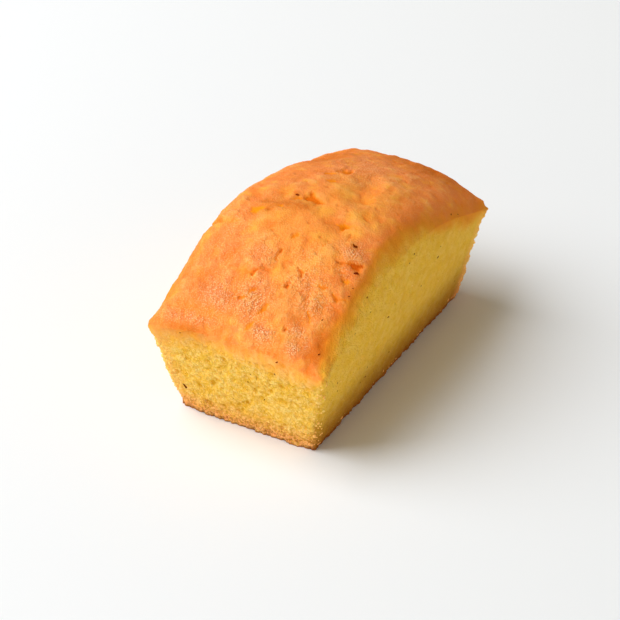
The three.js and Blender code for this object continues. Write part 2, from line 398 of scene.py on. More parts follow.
for x, y, reach in SOFTENED:
    away = np.hypot(flat_mm[:, 0] - x, flat_mm[:, 1] - y) / reach
    soft = (1 - smooth_step(*SOFT_EDGE, away)) * smooth_step(*SOFT_ABOVE, height)
    tear_zone = np.maximum(tear_zone, soft)
print("points to smooth:", int((tear_zone > 0.5).sum()))

# %% Creases, softer than tears
CREASES = (  # depth in mm, then the path, as above
    (0.6, ((14.0, -8.0, 4.5), (9.8, -9.0, 5.5), (6.0, -10.6, 4.5))),
    (0.4, ((-10.0, -7.5, 3.5), (-8.0, -12.4, 3.5))),
    (0.35, ((-30.0, -13.0, 3.0), (-36.0, -14.0, 3.0))),
    (0.35, ((-36.0, -19.0, 3.0), (-43.0, -17.0, 3.0))),
    (0.4, ((-26.0, -21.0, 3.0), (-20.0, -16.0, 3.0))),
    (0.4, ((-46.0, 20.0, 4.0), (-47.0, 4.0, 4.0))),
    (0.35, ((-19.0, -5.0, 3.0), (-25.0, -8.0, 3.0))),
    (0.3, ((-36.0, 8.0, 3.0), (-42.0, 6.0, 3.0))),
    (0.4, ((-20.1, 17.4, 1.2), (-19.6, 22.0, 1.6))),  # runs into a notch in the far outline
    (1.9, ((-19.5, 22.8, 1.5), (-19.2, 25.0, 2.0), (-18.4, 28.0, 2.2))),
    (0.6, ((50.5, -28.5, 3.0), (51.5, -28.0, 3.0))),  # the far corner sank
)
CREASE_WARP = 1.2  # they wander more than tears
CREASE_FALLOFF = 4
CREASES_FADE = (1 * MM, 5 * MM)  # below the rim

crease = np.zeros(len(points))
above_wall = 1 - smooth_step(*CREASES_FADE, from_rim)
for depth, path in CREASES:
    away, width = along_path(flat_mm + CREASE_WARP * warp, path)
    crease = np.maximum(crease, depth * np.exp(-CREASE_FALLOFF * (away / width) ** 2) * above_wall)
print("deepest crease, mm:", crease.max().round(2))

# %% Creases and tears pressed in, lips lifted
ZONE_PASSES = 60  # of smoothing
LIP_HEIGHT = 0.22 * MM


def paint_group(piece, name, weights, levels=100):
    """A vertex group with each point's weight, rounded to so many levels."""
    painted = piece.vertex_groups.new(name=name)
    rounded = np.round(np.clip(weights, 0, 1) * levels).astype(int)
    for level in range(1, levels + 1):
        painted.add(np.flatnonzero(rounded == level).tolist(), level / levels, "REPLACE")
    return name


def push(piece, painted, out):
    apply_modifier(piece, "DISPLACE", vertex_group=painted, strength=out, mid_level=0)


apply_modifier(
    loaf, "SMOOTH", factor=0.5, iterations=ZONE_PASSES,
    vertex_group=paint_group(loaf, "tear zone", tear_zone),
)
push(loaf, paint_group(loaf, "creases", crease / crease.max()), -crease.max() * MM)
push(loaf, paint_group(loaf, "tears", tear_depth / tear_depth.max()), -tear_depth.max() * MM)
push(loaf, paint_group(loaf, "lips", lip / lip.max()), LIP_HEIGHT)
print("deepest tear, mm:", tear_depth.max())

# %% [markdown]
# ## Crumb and crust, roughened
#
# Crumb is open and crumbly: soft lumps, pores a millimetre or two wide and a fine grain. The crust is
# a skin with low swells and a much finer grain, and it is wrinkled near the end that rose least. Along
# the foot and the upright edges, where the tin held the batter hardest, whole crumbs broke away, and
# one corner of the foot stayed in the tin. Each of these is a Displace modifier, most with a
# procedural texture of their own, and a painted group says where it works. Bump nodes alone would
# leave the outline smooth, and the ragged outline is what makes it cake.

# %% Painted groups
FOOT_WAVES = ((0.8, 4 * MM, 5), (0.6, 1.2 * MM, 8))  # heights in mm
FOOT_ROUGH = (0.3 * MM, 4.0 * MM)  # up from the floor
END_FOOT = (0.8 * MM, 2.8 * MM)
CLEAN_WIDTH = 3.5 * MM  # of the near upright edge, which came out of the tin clean
TORN_WIDTH = 6 * MM  # of the other three
TORN_EDGE = (0.3, 1)  # of that width
TAN_WIDTH = (1 * MM, 8 * MM)
WALL_OPEN = 0.18  # how open a long wall's crumb is
ENDS_ADD = 0.82  # the ends are the roughest
TAN_CLOSES = 0.7
NEAR_CRUST = (15 * MM, 35 * MM)  # from the middle towards the near end

to_edge = np.linalg.norm(np.maximum(to_walls, 0), axis=1)
foot_wander = waves(points, FOOT_WAVES)
foot_edge = 1 - smooth_step(*FOOT_ROUGH, height + foot_wander * MM)
near_edge = (points[:, 0] < 0) & (points[:, 1] < 0)
torn = np.where(near_edge, CLEAN_WIDTH, TORN_WIDTH)
upright = (1 - smooth_step(*TORN_EDGE, to_edge / torn)) * (1 - crust)
tan_edge = (1 - smooth_step(*TAN_WIDTH, to_edge + foot_wander * MM)) * (1 - crust) * ~near_edge
open_crumb = (1 - crust) * (WALL_OPEN + ENDS_ADD * ends) * (1 - TAN_CLOSES * tan_edge)
near_crust = crust * smooth_step(*NEAR_CRUST, -points[:, 0])  # wrinkled where it rose least
end_foot = ends * (1 - smooth_step(*END_FOOT, height))  # square, not rounded, at the ends
for name, weights in (
    ("crumb", 1 - crust), ("open crumb", open_crumb), ("crust", crust),
    ("near crust", near_crust), ("upright", upright), ("foot edge", foot_edge),
    ("end foot", end_foot),
):
    paint_group(loaf, name, weights)
    print(name, "covers", round(float(weights.mean()), 2))


# %% Textures for relief
def cloud(name, size, depth=1):
    texture = bpy.data.textures.new(name, "CLOUDS")
    texture.noise_scale = size
    texture.noise_depth = depth
    return texture


def pits(name, spacing, floor_at, rim_at):
    """0 in the middle of each pit and 1 outside it."""
    texture = bpy.data.textures.new(name, "VORONOI")
    texture.noise_scale = spacing
    texture.use_color_ramp = True
    low, high = texture.color_ramp.elements
    low.position, low.color = floor_at, (0, 0, 0, 1)
    high.position, high.color = rim_at, (1, 1, 1, 1)
    return texture


def roughen(painted, texture, strength, level=0.5):
    apply_modifier(
        loaf, "DISPLACE", texture=texture, texture_coords="LOCAL", vertex_group=painted,
        strength=strength, mid_level=level,
    )


# %% Relief
LOST_CORNER = (-46.5, 22.5, 0)  # mm; this corner of the foot stayed in the tin
LOST_REACH = 5  # mm
LOST_DEPTH = 1.3 * MM
SQUARED = 0.25 * MM  # the foot of each end is pushed out by this

from_corner = np.linalg.norm(points / MM - LOST_CORNER, axis=1) / LOST_REACH
push(loaf, paint_group(loaf, "lost corner", np.exp(-from_corner ** 2)), -LOST_DEPTH)
push(loaf, "end foot", SQUARED)
smooth_points = vectors_of(loaf, "co")
smooth_normals = vectors_of(loaf, "normal")
roughen("crust", cloud("crust swells", 5.5 * MM), 0.7 * MM)
roughen("crust", cloud("crust puckers", 2.4 * MM), 0.4 * MM)
roughen("crust", pits("crust pinholes", 3.4 * MM, 0.06, 0.22), 0.35 * MM, level=1)
roughen("crust", cloud("crust grain", 0.8 * MM), 0.12 * MM)
roughen("near crust", cloud("crust wrinkles", 3.2 * MM, depth=2), 0.65 * MM)
roughen("near crust", cloud("crust beads", 1.2 * MM), 0.3 * MM)
roughen("crumb", cloud("crumb lumps", 3.2 * MM), 0.7 * MM)
roughen("open crumb", pits("crumb pores", 2.0 * MM, 0.05, 0.5), 0.55 * MM, level=1)
roughen("open crumb", pits("crumb holes", 4.7 * MM, 0.03, 0.26), 0.8 * MM, level=1)
roughen("open crumb", cloud("crumb grain", 0.85 * MM), 0.5 * MM)
roughen("upright", cloud("upright crumbs", 1.1 * MM), 1.3 * MM, level=0.4)
roughen("foot edge", cloud("foot crumbs", 1.1 * MM), 0.8 * MM)
roughen("foot edge", cloud("foot chips", 2.7 * MM), 0.8 * MM)
relief = ((vectors_of(loaf, "co") - smooth_points) * smooth_normals).sum(axis=1) / MM
print("relief, mm:", relief.min().round(2), "to", relief.max().round(2))

# %% The foot pressed flat and closed
FOOT_RIM = 0.4 * MM

edit(loaf, "VERT")
select(loaf, "verts", lambda vertex: vertex.co.z < 0 or vertex.is_boundary)
bpy.ops.transform.resize(value=(1, 1, 0), center_override=(0, 0, 0))
bpy.ops.mesh.select_mode(type="EDGE")
select(loaf, "edges", lambda edge: edge.is_boundary)
bpy.ops.mesh.edge_face_add()
bpy.ops.mesh.inset(thickness=FOOT_RIM, use_even_offset=False)
bpy.ops.mesh.select_all(action="SELECT")
bpy.ops.mesh.normals_make_consistent(inside=False)
leave_edit()
bpy.ops.object.shade_smooth()
triangles = sum(len(face.vertices) - 2 for face in loaf.data.polygons)
print("loaf triangles:", triangles, "lowest, mm:", vectors_of(loaf, "co")[:, 2].min() / MM)

# %% [markdown]
# ## Attributes for the colours
#
# The material has to know what the modelling knew: crust or crumb, tears, the browner and paler places,
# and what stands proud or lies deep. Some of these places carry painted shade and painted light. Each is
# kept as an attribute on the points, and the nodes read it by name. Painting an image would need a UV
# map and a file. An attribute needs neither.

# %% Browner, paler and buttery places on the crust, partly painted shade, painted light and painted sheen
BROWNED_AND_PAINTED_SHADE = (  # x, y, reach along x, reach along y in mm, then how much
    (-44, -24, 6, 4, 1.0),
    (-51, 16, 2, 9, 1.0),
    (-24, -25, 18, 4, 0.5),
    (4, -24.5, 16, 3, 0.6),
    (30, -25, 18, 4, 0.3),
    # painted shade: these two darken the far slopes, which face away from the lamp
    (47, -10, 11, 20, 1.0),
    (34, 17, 15, 9, 1.0),
    (-12.8, 11, 2.5, 2.5, 0.8),
    (-40, 18, 6, 4, 0.6),
    (11, 16, 9, 5, 0.35),
    (-2.4, 11.4, 3.5, 2.5, 0.35),
    (-37, -7.4, 3, 3, 0.5),
    (-47, -13.3, 2, 2, 0.5),
    (-44, 16, 6, 8, 0.4),
    (-11.5, -10, 3, 2.5, 0.3),
    # painted shadow: these six darken the lower side of the fold
    (-9.8, 12.8, 3, 3, 0.75),
    (-9.6, 9.4, 3, 3, 0.8),
    (-8.5, 6.6, 3, 3, 0.8),
    (-8.0, 3.4, 3, 3, 0.8),
    (-7.8, 0.8, 2.8, 2.5, 0.7),
    (-8.4, -2.0, 2.5, 2.5, 0.4),
    (-30, 18, 14, 8, 0.25),
    (-32, 25.5, 14, 3, 0.5),
    (-42, -14, 3, 3, 0.5),
    (-38, -6, 4, 4, 0.4),
    (-2.3, 7.4, 1.0, 1.4, 0.8),  # the last three lie round the large specks
    (-14.4, -17.8, 1.4, 1.8, 0.6),
    (-22.1, -22.5, 2.5, 2.5, 0.7),
)
PALE_AND_PAINTED_LIGHT = (  # as above
    (-16, 4, 12, 9, 0.5),
    (-6, -4, 8, 6, 0.5),
    (6, -5, 12, 7, 0.7),
    (8, -14, 14, 6, 0.5),
    (-34, -14, 8, 8, 0.4),
    (-25, -8, 16, 8, 0.8),
    # painted light: these four lighten slopes that the solid's creases turn from the lamp
    (-4, -14, 4, 5, 0.8),
    (-1.5, -15, 4, 3.5, 1.0),
    (-10, -15, 4, 3, 1.0),
    (-4.7, -19, 4, 3, 0.6),
    (-23, -14.5, 5, 4, 0.6),
    (-34, -16, 6, 5, 0.8),
    (-42, -4, 6, 6, 0.6),
    (-46, -10, 4, 8, 0.7),
)
# places with a butter gloss; their colour also gets a painted sheen
BUTTERY_AND_SHEEN = (  # as above
    (-48, 16, 2.5, 9, 1.0),
    (-47.2, -7, 2.4, 3.8, 1.0),
    (-43.6, -15.8, 2, 3.8, 1.0),
    (-47.8, -16.6, 1.8, 2.4, 1.0),
    (-45.8, -19.9, 1, 1, 0.9),
    (-40, 0, 7, 7, 0.8),
    (-36, -17, 5, 5, 0.7),
    (-42, 12, 6, 9, 0.9),
    (-28, 16, 14, 9, 0.35),
    (-17, -19, 4, 5, 0.7),
    (-23, -20, 3, 4, 0.7),
    (-24, -7, 4, 5, 0.4),
    (-28, 5, 5, 6, 0.5),
    (-31, -12, 7, 7, 0.6),
    (28, 2, 16, 14, 0.3),
)
print("places:", len(BROWNED_AND_PAINTED_SHADE), "browner,", len(PALE_AND_PAINTED_LIGHT), "paler,", len(BUTTERY_AND_SHEEN), "butter_and_sheen")

# %% How brown, pale and glossy each point is, with painted shade and painted light among them
BLOTCH_WAVES = ((0.12, 7 * MM, 6), (0.08, 2.6 * MM, 7))
GLOSS_BLOTCH = 1.5  # butter is blotchier than browning
DEEP_CREASE = 0.4  # mm; a crease this deep gets a deeper orange, painted shade
WALL_FOOT_BROWN_AND_SHADE = 20  # mm up from the floor on the long walls, where it is browning and painted shade
END_FOOT_LESS = 10  # mm
FOOT_WANDER = 1.2


def patches(table):
    total = np.zeros(len(points))
    for x, y, reach_x, reach_y, amount in table:
        away = ((flat_mm[:, 0] - x) / reach_x) ** 2 + ((flat_mm[:, 1] - y) / reach_y) ** 2
        total = np.maximum(total, amount * np.exp(-away))
    return total


blotch = waves(points, BLOTCH_WAVES)
brown_and_painted_shade = np.clip(patches(BROWNED_AND_PAINTED_SHADE) + blotch, 0, 1)
hollow_shade = np.clip(crease / DEEP_CREASE, 0, 1)
pale_and_painted_light = np.clip(patches(PALE_AND_PAINTED_LIGHT) + blotch, 0, 1) * crust * (1 - tear) * (1 - hollow_shade)
gloss = np.clip(patches(BUTTERY_AND_SHEEN) + GLOSS_BLOTCH * blotch, 0, 1) * crust * (1 - brown_and_painted_shade)
# browner towards the floor: browning, and on the long walls also painted shade
brown_and_shade_up_to = (WALL_FOOT_BROWN_AND_SHADE - END_FOOT_LESS * ends) * MM
foot_brown_and_shade = 1 - smooth_step(0, 1, (height + FOOT_WANDER * foot_wander * MM) / brown_and_shade_up_to)
print("brown:", brown_and_painted_shade.mean().round(3), "pale:", pale_and_painted_light.mean().round(3), "gloss:", gloss.mean().round(3))

# %% Attributes on the points
HOLLOW_SHADE = 0.3  # painted shade: a crease has this share of a tear's colour


def keep(piece, name, values):
    attribute = piece.data.attributes.new(name, "FLOAT", "POINT")
    padded = np.zeros(len(piece.data.vertices), np.float32)
    padded[:len(values)] = values
    attribute.data.foreach_set("value", padded)


loaf.vertex_groups.clear()  # a group and an attribute can't share a name
added = len(loaf.data.vertices) - len(points)  # the foot's rim
for name, values in (
    # the attribute for tears also carries the creases' painted shade
    ("crust", crust), ("tear", np.maximum(tear, HOLLOW_SHADE * hollow_shade)), ("brown_and_painted_shade", brown_and_painted_shade),
    ("pale_and_painted_light", pale_and_painted_light), ("tear_depth", tear_depth), ("relief", relief), ("tan_edge", tan_edge),
    ("gloss", gloss), ("open", open_crumb), ("ends", ends),
    ("foot_brown_and_shade", np.append(foot_brown_and_shade, np.ones(added))),
):
    keep(loaf, name, values)
print("attributes:", [a.name for a in loaf.data.attributes if not a.is_internal])

# %% [markdown]
# ## Node groups for baked surfaces
#
# Crust, crumb and specks all need broken-up colour and a fine grain. Two groups give both: "mottle"
# is cloudy noise with its contrast raised, and "granules" packs small round bumps side by side. A
# group is built once and takes its own values in each material.

# %% Two node groups
def add(tree, kind, inputs=None, **settings):
    node = tree.nodes.new(kind)
    for name, value in settings.items():
        setattr(node, name, value)
    for socket, value in (inputs or {}).items():
        if isinstance(value, bpy.types.NodeSocket):
            tree.links.new(value, node.inputs[socket])
        else:
            node.inputs[socket].default_value = value
    return node


def new_group(name, numbers):
    tree = bpy.data.node_groups.new(name, "ShaderNodeTree")
    tree.interface.new_socket("Vector", in_out="INPUT", socket_type="NodeSocketVector")
    for label, value in numbers:
        socket = tree.interface.new_socket(label, in_out="INPUT", socket_type="NodeSocketFloat")
        socket.default_value = value
    tree.interface.new_socket("Value", in_out="OUTPUT", socket_type="NodeSocketFloat")
    return tree, tree.nodes.new("NodeGroupInput").outputs, tree.nodes.new("NodeGroupOutput").inputs


mottle, given, put = new_group("mottle", (("Scale", 300), ("Low", 0.35), ("High", 0.65)))
cloudy = add(mottle, "ShaderNodeTexNoise", {
    "Vector": given["Vector"], "Scale": given["Scale"], "Detail": 3,
})
raised = add(mottle, "ShaderNodeMapRange", {
    "Value": cloudy.outputs["Fac"], "From Min": given["Low"], "From Max": given["High"],
})
mottle.links.new(raised.outputs["Result"], put["Value"])

granules, given, put = new_group("granules", (("Scale", 1500), ("Blend", 0.4)))
cells = add(granules, "ShaderNodeTexVoronoi", {
    "Vector": given["Vector"], "Scale": given["Scale"], "Smoothness": given["Blend"],
}, feature="SMOOTH_F1")
tops = add(granules, "ShaderNodeMapRange", {
    "Value": cells.outputs["Distance"], "From Min": 0.75, "From Max": 0.1,
})
granules.links.new(tops.outputs["Result"], put["Value"])
print("groups:", [tree.name for tree in bpy.data.node_groups])

# %% [markdown]
# ## The cake's material
#
# Crumb is yellow from eggs and butter, matt, and a little see-through, so light spreads inside it. The
# crust is the same batter browned: orange where it is thin, red-brown where it is thick, with a soft
# butter gloss. Part of both colours is painted light and shade: paler raised places and tips, darker
# pores, hollows and gaps, glints and sheen on the buttery places, and shade on some browner places. One
# material mixes both by the attribute "crust", because on the cake one fades into the other with no
# edge. Small helpers add one node each, so that a line of code reads like a sum.

# %% Colours
def srgb(red, green, blue):
    share = [c / 255 for c in (red, green, blue)]
    return [c / 12.92 if c < 0.04045 else ((c + 0.055) / 1.055) ** 2.4 for c in share] + [1]


CRUMB = srgb(255, 202, 80)
CRUMB_WALL = srgb(236, 185, 60)
# a paler crumb tone, also laid on raised crumb as painted highlight
CRUMB_LIGHT_AND_HIGHLIGHT = srgb(255, 216, 124)
# painted highlight on the tips of the crumb's grains
CRUMB_HIGHLIGHT = srgb(255, 228, 146)
# a deeper crumb tone, also laid in pores and between grains as painted shade
CRUMB_DEEP_AND_SHADE = srgb(227, 166, 33)
CRUMB_TAN = srgb(255, 188, 96)
RIM_TAN = srgb(234, 142, 24)
RIM_BROWN = srgb(220, 126, 28)
FOOT_TAN = srgb(242, 161, 96)
# painted light on the ends' lowest millimetres, where the rounded foot lies in shade
FOOT_PAINTED_LIGHT = srgb(252, 190, 122)
# the long walls' browned foot, darkened further as painted shade
FOOT_GOLD_AND_SHADE = srgb(144, 78, 2)
FOOT_LINE = srgb(150, 72, 8)
CRUST = srgb(240, 135, 66)
CRUST_PALE = srgb(249, 168, 66)
# browned crust, also laid as painted shade on the far slopes and along the fold
CRUST_BROWN_AND_SHADE = srgb(202, 100, 6)
# painted highlight on raised crust and on its grains' tips
CRUST_HIGHLIGHT = srgb(248, 184, 104)
# painted shade in the crust's hollows and between its grains
CRUST_SHADE = srgb(234, 118, 26)
# painted sheen, pinker and paler, on the buttery places
CRUST_SHEEN = srgb(242, 166, 114)
# painted glints on the grains of the buttery places
CRUST_GLINT = srgb(255, 216, 182)
# painted shade between those grains
CRUST_GAP_SHADE = srgb(208, 100, 46)
TEAR_INSIDE = srgb(250, 142, 8)
# painted shade inside the deeper tears
TEAR_SHADED = srgb(214, 94, 0)

print("crumb, linear:", [round(c, 3) for c in CRUMB[:3]])


# %% Helpers for nodes
def new_material(name):
    """An empty material, its node tree and the Object coordinates for its patterns."""
    material = bpy.data.materials.new(name)
    material.use_nodes = True
    material.node_tree.nodes.clear()
    coordinates = add(material.node_tree, "ShaderNodeTexCoord")
    return material, material.node_tree, coordinates.outputs["Object"]


def read(name):
    return add(tree, "ShaderNodeAttribute", attribute_name=name).outputs["Fac"]


def group(which, **numbers):
    node = add(tree, "ShaderNodeGroup", {"Vector": place, **numbers}, node_tree=which)
    return node.outputs["Value"]


def math_node(operation, first, second):
    return add(tree, "ShaderNodeMath", {0: first, 1: second}, operation=operation).outputs[0]


def product(first, second):
    return math_node("MULTIPLY", first, second)


def stretch(value, low, high, to_low=0.0, to_high=1.0):
    return add(tree, "ShaderNodeMapRange", {
        "Value": value, "From Min": low, "From Max": high, "To Min": to_low, "To Max": to_high,
    }).outputs["Result"]


def mix(share, first, second):
    return add(tree, "ShaderNodeMix", {0: share, 6: first, 7: second}, data_type="RGBA").outputs[2]


def mix_values(share, first, second):
    return add(tree, "ShaderNodeMix", {0: share, 2: first, 3: second}, data_type="FLOAT").outputs[0]


def dress(piece, material, inputs):
    shader = add(tree, "ShaderNodeBsdfPrincipled", inputs)
    add(tree, "ShaderNodeOutputMaterial", {"Surface": shader.outputs["BSDF"]})
    piece.data.materials.clear()
    piece.data.materials.append(material)


# %% Crumb colour: lumps, pores in painted shade, raised crumb in painted highlight, and the rim
cake, tree, place = new_material("cake")
proud = read("relief")
paler = stretch(read("ends"), 0, 1, 0.25, 1)  # the ends are paler than the long walls
light_share = product(group(mottle, Scale=420, Low=0.4, High=0.62), paler)
crumb_colour = mix(read("ends"), CRUMB_WALL, CRUMB)
crumb_colour = mix(light_share, crumb_colour, CRUMB_LIGHT_AND_HIGHLIGHT)
big_share = product(group(mottle, Scale=190, Low=0.48, High=0.68), read("open"))
crumb_colour = mix(product(big_share, 0.5), crumb_colour, CRUMB_LIGHT_AND_HIGHLIGHT)
on_open = stretch(read("open"), 0, 1, 0, 0.6)
deep_share = product(group(mottle, Scale=600, Low=0.5, High=0.68), on_open)
crumb_colour = mix(deep_share, crumb_colour, CRUMB_DEEP_AND_SHADE)
on_walls = stretch(read("ends"), 0, 1, 0.35, 0)
wall_share = product(group(mottle, Scale=330, Low=0.45, High=0.7), on_walls)
crumb_colour = mix(wall_share, crumb_colour, CRUMB_DEEP_AND_SHADE)
# painted shade in the pores and dents, painted highlight on the raised crumb
crumb_colour = mix(stretch(proud, -0.1, -0.6, 0, 0.9), crumb_colour, CRUMB_DEEP_AND_SHADE)
highlight_share = product(stretch(proud, 0.1, 0.5, 0, 0.6), paler)
crumb_colour = mix(highlight_share, crumb_colour, CRUMB_LIGHT_AND_HIGHLIGHT)
crumb_colour = mix(product(read("tan_edge"), 0.85), crumb_colour, CRUMB_TAN)
rim_share = product(read("crust"), math_node("SUBTRACT", 1.0, read("ends")))
crumb_colour = mix(stretch(rim_share, 0.15, 1), crumb_colour, RIM_TAN)
print("crumb nodes:", len(tree.nodes))

# %% Crumb colour: the foot, browned and partly painted shade, and the grains with painted highlights and shade
like_ends = math_node("MAXIMUM", read("ends"), read("tan_edge"))
patchy = mix_values(like_ends, 0.9, group(mottle, Scale=500, Low=0.1, High=0.45))
# browning at the foot, and painted shade low on the long walls
foot_brown_and_shade_share = product(read("foot_brown_and_shade"), patchy)
crumb_colour = mix(foot_brown_and_shade_share, crumb_colour, mix(like_ends, FOOT_GOLD_AND_SHADE, FOOT_TAN))
above_floor = add(tree, "ShaderNodeSeparateXYZ", {"Vector": place}).outputs["Z"]
line_share = stretch(above_floor, 0.3 * MM, 1.8 * MM, 0.8, 0)
line_share = product(line_share, stretch(like_ends, 0, 1, 1, 0))
crumb_colour = mix(line_share, crumb_colour, FOOT_LINE)
# painted light along the ends' foot, against the shade under its rounded edge
foot_light_share = product(stretch(above_floor, 0.4 * MM, 2.2 * MM, 0.7, 0), like_ends)
crumb_colour = mix(foot_light_share, crumb_colour, FOOT_PAINTED_LIGHT)
crumb_cells = group(granules, Scale=1250, Blend=0.2)
# painted highlights on the grains' tips and painted shade in the gaps between them
crumb_highlights = product(stretch(crumb_cells, 0.6, 0.95, 0, 0.35), read("open"))
crumb_colour = mix(crumb_highlights, crumb_colour, CRUMB_HIGHLIGHT)
gap_shade_share = product(read("open"), stretch(foot_brown_and_shade_share, 0, 1, 0.4, 0.75))
crumb_gap_shade = product(stretch(crumb_cells, 0.4, 0.1), gap_shade_share)
crumb_colour = mix(crumb_gap_shade, crumb_colour, mix(foot_brown_and_shade_share, CRUMB_DEEP_AND_SHADE, FOOT_GOLD_AND_SHADE))
fine_share = group(mottle, Scale=1600, Low=0.45, High=0.65)
fine_share = product(fine_share, stretch(read("open"), 0, 1, 0, 0.45))
crumb_colour = mix(fine_share, crumb_colour, CRUMB_DEEP_AND_SHADE)
print("with foot and grains:", len(tree.nodes))

# %% Crust colour, with painted highlights, glints, sheen and shade
# paler places, some of them painted light
crust_colour = mix(read("pale_and_painted_light"), CRUST, CRUST_PALE)
crust_colour = mix(group(mottle, Scale=220, Low=0.5, High=0.75), crust_colour, CRUST_PALE)
# painted shade in the crust's hollows, painted highlight on its raised places
crust_colour = mix(stretch(proud, -0.05, -0.35, 0, 0.75), crust_colour, CRUST_SHADE)
crust_colour = mix(stretch(proud, 0.05, 0.35, 0, 0.6), crust_colour, CRUST_HIGHLIGHT)
# browning, with painted shade on the far slopes and along the fold
crust_colour = mix(product(read("brown_and_painted_shade"), 0.9), crust_colour, CRUST_BROWN_AND_SHADE)
# the buttery places get a painted sheen as well as a lower roughness
butter_and_sheen = read("gloss")
crust_colour = mix(product(butter_and_sheen, 0.45), crust_colour, CRUST_SHEEN)
crust_cells = group(granules, Scale=2000, Blend=0.1)
# painted glints on the grains' tips and painted shade in their gaps, densest on the buttery places
painted_sparkle = group(mottle, Scale=900, Low=0.3, High=0.55)
painted_sparkle = product(stretch(butter_and_sheen, 0, 1, 0.18, 1), painted_sparkle)
crust_glints = product(stretch(crust_cells, 0.42, 0.8), painted_sparkle)
crust_colour = mix(crust_glints, crust_colour, mix(butter_and_sheen, CRUST_HIGHLIGHT, CRUST_GLINT))
crust_gap_shade = product(stretch(crust_cells, 0.5, 0.15), painted_sparkle)
crust_colour = mix(crust_gap_shade, crust_colour, mix(butter_and_sheen, CRUST_SHADE, CRUST_GAP_SHADE))
long_rim = product(stretch(read("crust"), 1, 0.7), stretch(read("ends"), 0, 1, 1, 0))
crust_colour = mix(long_rim, crust_colour, RIM_BROWN)
# painted shade: the deeper a tear, the darker its inside
tear_colour = mix(stretch(read("tear_depth"), 0.2, 0.6), TEAR_INSIDE, TEAR_SHADED)
crust_colour = mix(read("tear"), crust_colour, tear_colour)
cake_colour = mix(read("crust"), crumb_colour, crust_colour)
print("with crust nodes:", len(tree.nodes))

# %% Grain, gloss and the shader
crust_grain = product(crust_cells, stretch(butter_and_sheen, 0, 1, 0.25, 0.9))
crumb_grain = math_node("ADD", crumb_cells, group(granules, Scale=2300, Blend=0.2))
crumb_grain = product(crumb_grain, stretch(read("open"), 0, 0.6, 0.35, 1))
bump = add(tree, "ShaderNodeBump", {
    "Strength": 0.9, "Distance": 0.35 * MM,
    "Height": mix_values(read("crust"), crumb_grain, crust_grain),
})
butter = product(butter_and_sheen, math_node("SUBTRACT", 1.0, read("tear")))
dull = stretch(read("crust"), 0.3, 1, 1, 0.82)
dull = math_node("SUBTRACT", dull, product(butter, 0.5))
uneven = stretch(group(mottle, Scale=700, Low=0.3, High=0.7), 0, 1, -0.06, 0.06)
dress(loaf, cake, {
    "Base Color": cake_colour, "Roughness": math_node("ADD", dull, uneven),
    "Normal": bump.outputs["Normal"], "Specular IOR Level": 0.12, "Subsurface Weight": 0.25,
    "Subsurface Radius": (1, 0.45, 0.15), "Subsurface Scale": 1.2 * MM,
})
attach(loaf, "root")
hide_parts("loaf_cake")
print("cake nodes:", len(tree.nodes))

# %% [markdown]
# ## Dark specks
#
# The batter held ground spice or seed, and its bits show as dark specks, most of them half a
# millimetre across and a few of them larger. One speck is modelled from an icosphere, flattened and
# roughened with a Displace modifier. It is copied to each place, sunk into the surface, and the
# copies are joined. A noise mask in the material would be cheaper, but it would have no edge and
# catch no light.

# %% One speck
SPECK_SHAPE = (1, 0.8, 0.55)

bpy.ops.object.select_all(action="DESELECT")
bpy.ops.mesh.primitive_ico_sphere_add(subdivisions=2, radius=0.5)
speck = bpy.context.object
speck.name = "speck"
edit(speck, "VERT")
bpy.ops.mesh.select_all(action="SELECT")
bpy.ops.transform.resize(value=SPECK_SHAPE)
leave_edit()
apply_modifier(
    speck, "DISPLACE", texture=cloud("speck lumps", 0.5), texture_coords="LOCAL", strength=0.4,
)
print("speck faces:", len(speck.data.polygons))

# %% Specks that show
TOP_SPECKS = (  # x, y and size in mm
    (-2.9, 7.1, 1.3), (-14.4, -17.8, 1.8), (-22.0, -22.4, 1.5), (-38.3, -20.7, 0.7), (-45.9, -24.0, 0.7),
    (-28.8, -23.9, 0.7), (-26.2, -23.7, 0.6), (-3.6, 3.5, 0.6),
)
END_SPECKS = (  # y, z and size on the near end
    (-13.4, 30.9, 0.8), (-12.4, 26.1, 0.8), (-7.8, 14.3, 0.8), (-4.3, 22.8, 0.6), (-3.3, 19.6, 0.6),
    (17.6, 30.3, 0.6), (2.5, 11.0, 0.6),
)
SIDE_SPECKS = (  # x, z and size on the long wall in shade
    (28.6, 39.2, 0.9), (32.6, 37.1, 0.7), (18.0, 30.6, 1.1), (2.8, 40.4, 0.7), (19.6, 33.5, 0.7),
    (-0.5, 39.2, 0.6), (9.4, 25.2, 0.7), (38.0, 9.3, 0.6), (-8.8, 30.0, 0.6), (-11.7, 27.1, 0.9),
    (-24.3, 41.3, 0.7), (-23.9, 36.4, 0.6), (-33.0, 34.5, 0.6), (-5.5, 10.0, 0.6), (-20.4, 14.3, 0.6),
    (-19.7, 10.1, 0.8), (-22.5, 9.8, 0.7), (-40.6, 22.1, 0.6), (-39.3, 18.3, 0.6),
)
LONG_SPECK = (19.0, 9.3, 2.1)  # y, z and length of the one sliver, on the near end
LONG_SPECK_SLIM = 0.6  # its width, of its length
OUTSIDE = 90  # mm; each place is found by a ray that starts out here
CLUMPED = 1.5  # mm; a larger speck is a clump
CLUMP_BITS = 3
CLUMP_SPREAD = 0.4  # of the clump's size
BIT_SIZES = (0.5, 0.75)
chance = random.Random(11)

